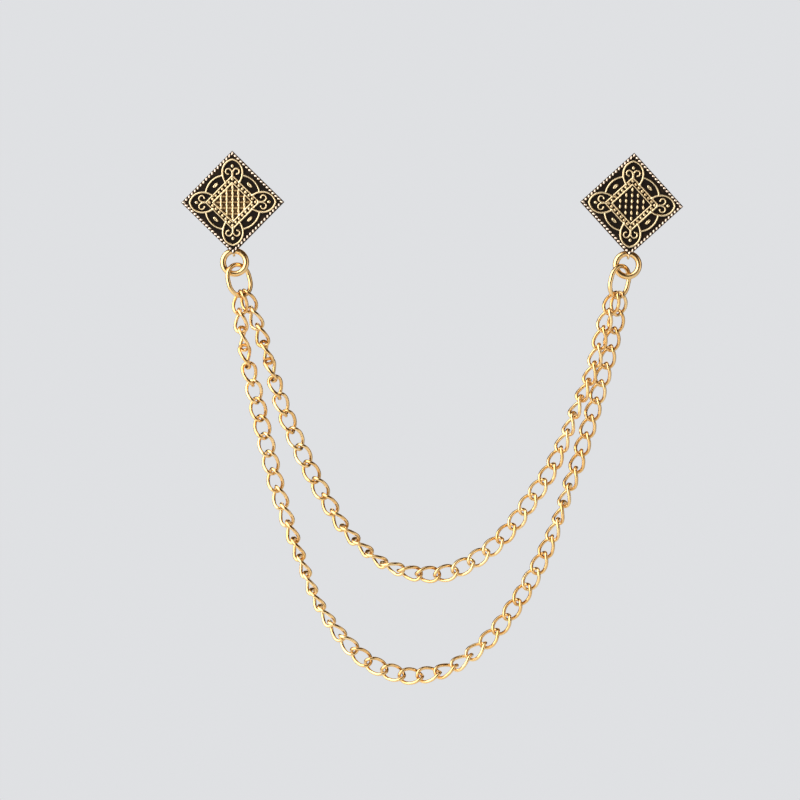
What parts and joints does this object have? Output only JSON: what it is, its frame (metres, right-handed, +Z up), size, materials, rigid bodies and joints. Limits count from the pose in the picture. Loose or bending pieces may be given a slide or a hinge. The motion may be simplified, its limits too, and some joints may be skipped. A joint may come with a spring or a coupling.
{
  "type": "lapel chain",
  "caption": "Pinned lapel ornament: square plaques with scrollwork in relief carry draped curb chains on jump rings and oval links, with a pointed post behind each plaque.",
  "frame": {"origin": "on the face of the cloth that the pins go through, midway between the two posts", "axes": "+X to the wearer's left as seen from the front (to the right in the picture), +Y into the cloth, +Z up"},
  "size_m": [0.1033, 0.014, 0.11],
  "materials": {
    "plaque_metal": "antiqued cast gold plate: bright worn ridges over dark brown recesses",
    "pin_metal": "plain turned, satin",
    "ring_metal": "polished gold plate with fine wear",
    "chain_metal": "polished gold plate, darker inside the links"
  },
  "bodies": {
    "root": {"left_plate": "plaque_metal", "left_pin": "pin_metal", "left_jump_ring": "ring_metal", "left_oval_link": "ring_metal", "inner_chain": "chain_metal", "outer_chain": "chain_metal", "right_oval_link": "ring_metal", "right_jump_ring": "ring_metal", "right_pin": "pin_metal", "right_plate": "plaque_metal"}
  },
  "joints": []
}
